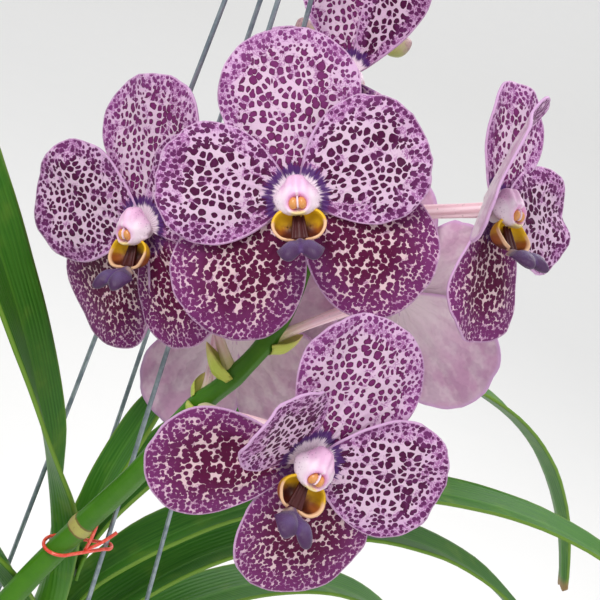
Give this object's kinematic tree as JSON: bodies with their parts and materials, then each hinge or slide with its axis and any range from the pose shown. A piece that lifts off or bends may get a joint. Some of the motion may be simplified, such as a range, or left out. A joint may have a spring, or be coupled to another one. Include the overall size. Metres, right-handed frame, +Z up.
{
  "type": "potted orchid in a wire hanger",
  "caption": "Vanda-type orchid with a spike of spotted blooms and strap leaves, rooted in a small clay pot that hangs from a wire hanger.",
  "frame": {"origin": "inside top of the hanger's hook, the point that the whole plant hangs from", "axes": "+Z up along the hanger's axis; -Y towards the side that the flower spike faces; +X to the viewer's right from there"},
  "size_m": [0.6456, 0.3988, 0.7777],
  "materials": {
    "unglazed_clay": "matt, unglazed",
    "galvanised_wire": "dull zinc, blue-grey",
    "orchid_bark": "rough broken chips",
    "stem_green": "dry leaf bases and scars",
    "root_grey": "silvery and chalky, green at the tip",
    "leaf_green": "leathery, with a soft shine",
    "spike_green": "smooth, pink towards the blooms",
    "tepal_spotted": "pale lilac with dark purple spots, waxy",
    "column_pink": "waxy, orange anther cap",
    "throat_gold": "yellow-brown with peach rims",
    "midlobe_violet": "velvety grey-violet",
    "bud_green": "green, flushed purple",
    "tie_red": "plastic-coated twist tie"
  },
  "bodies": {
    "root": {"hanger": "galvanised_wire", "pot": "unglazed_clay", "bark_mix": "orchid_bark", "stem": "stem_green", "aerial_root_1": "root_grey", "aerial_root_2": "root_grey", "aerial_root_3": "root_grey", "aerial_root_4": "root_grey", "aerial_root_5": "root_grey", "leaf_1": "leaf_green", "leaf_2": "leaf_green", "leaf_3": "leaf_green", "leaf_4": "leaf_green", "leaf_5": "leaf_green", "leaf_6": "leaf_green", "leaf_7": "leaf_green", "leaf_8": "leaf_green", "leaf_9": "leaf_green", "leaf_10": "leaf_green", "flower_spike": "spike_green", "bloom_1_tepals": "tepal_spotted", "bloom_1_column": "column_pink", "bloom_1_throat": "throat_gold", "bloom_1_midlobe": "midlobe_violet", "bloom_2_tepals": "tepal_spotted", "bloom_2_column": "column_pink", "bloom_2_throat": "throat_gold", "bloom_2_midlobe": "midlobe_violet", "bloom_3_tepals": "tepal_spotted", "bloom_3_column": "column_pink", "bloom_3_throat": "throat_gold", "bloom_3_midlobe": "midlobe_violet", "bloom_4_tepals": "tepal_spotted", "bloom_4_column": "column_pink", "bloom_4_throat": "throat_gold", "bloom_4_midlobe": "midlobe_violet", "bloom_5_tepals": "tepal_spotted", "bloom_5_column": "column_pink", "bloom_5_throat": "throat_gold", "bloom_5_midlobe": "midlobe_violet", "bloom_6_tepals": "tepal_spotted", "bloom_6_column": "column_pink", "bloom_6_throat": "throat_gold", "bloom_6_midlobe": "midlobe_violet", "bloom_7_tepals": "tepal_spotted", "bloom_7_column": "column_pink", "bloom_7_throat": "throat_gold", "bloom_7_midlobe": "midlobe_violet", "bud_1": "bud_green", "bud_2": "bud_green", "bud_3": "bud_green", "twist_tie": "tie_red"}
  },
  "joints": []
}
